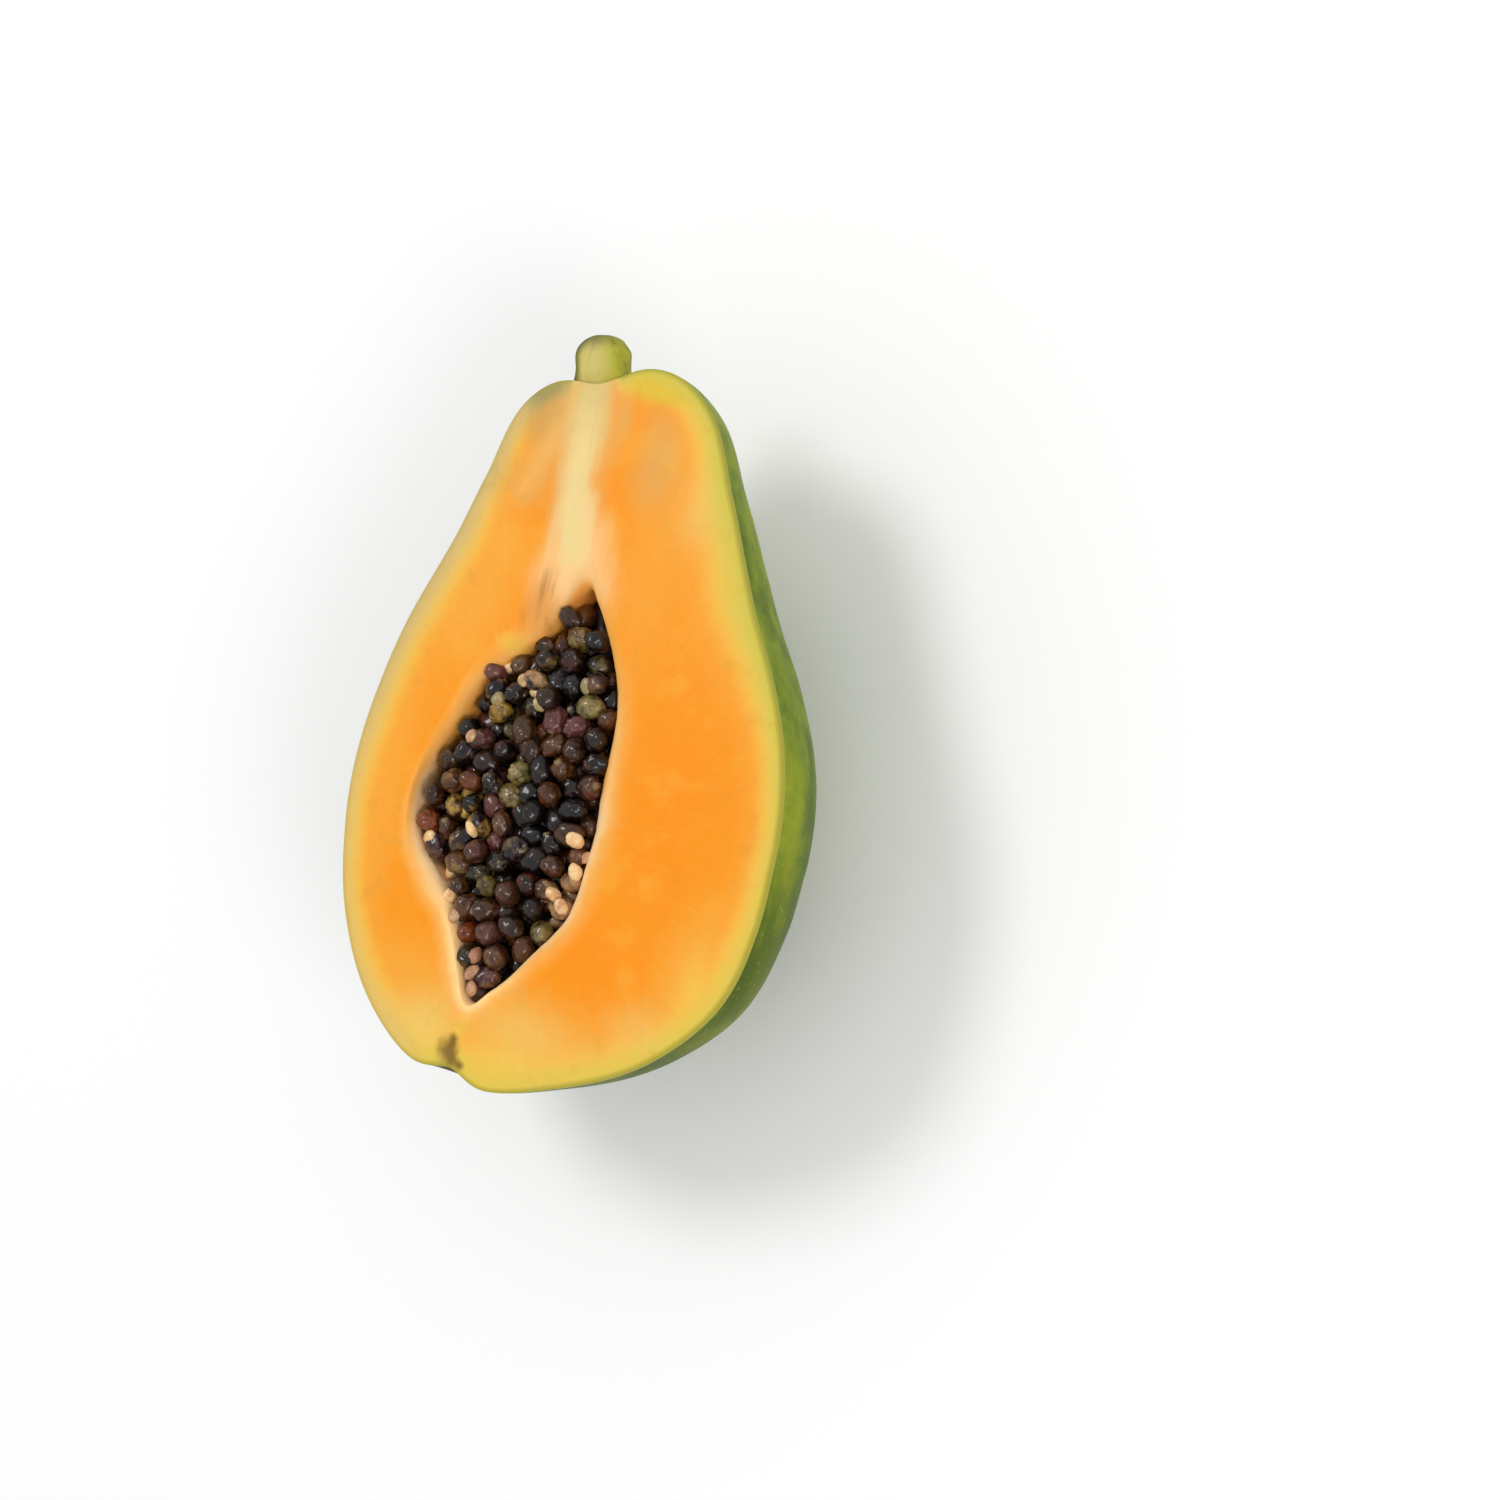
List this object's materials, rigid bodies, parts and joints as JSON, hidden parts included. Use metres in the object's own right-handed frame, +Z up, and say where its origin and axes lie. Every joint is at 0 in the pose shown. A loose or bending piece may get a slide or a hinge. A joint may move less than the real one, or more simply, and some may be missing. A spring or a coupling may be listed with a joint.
{
  "type": "papaya half",
  "caption": "Half of a ripe papaya, cut lengthwise and resting on its back: orange flesh, green skin, a seed-filled hollow and the short stalk cut with it.",
  "frame": {"origin": "centre of the bounding box, at the bottom of the resting spot on the round back", "axes": "+Z up, square to the cut face, which faces up; +Y along the fruit towards its stalk; +X towards the side with the thicker flesh"},
  "size_m": [0.1166, 0.1764, 0.0609],
  "materials": {
    "flesh": "moist satin, with green skin on the back",
    "stalk": "dull",
    "seeds": "wet gloss"
  },
  "bodies": {
    "root": {"flesh": "flesh", "stalk": "stalk", "seeds": "seeds"}
  },
  "joints": []
}
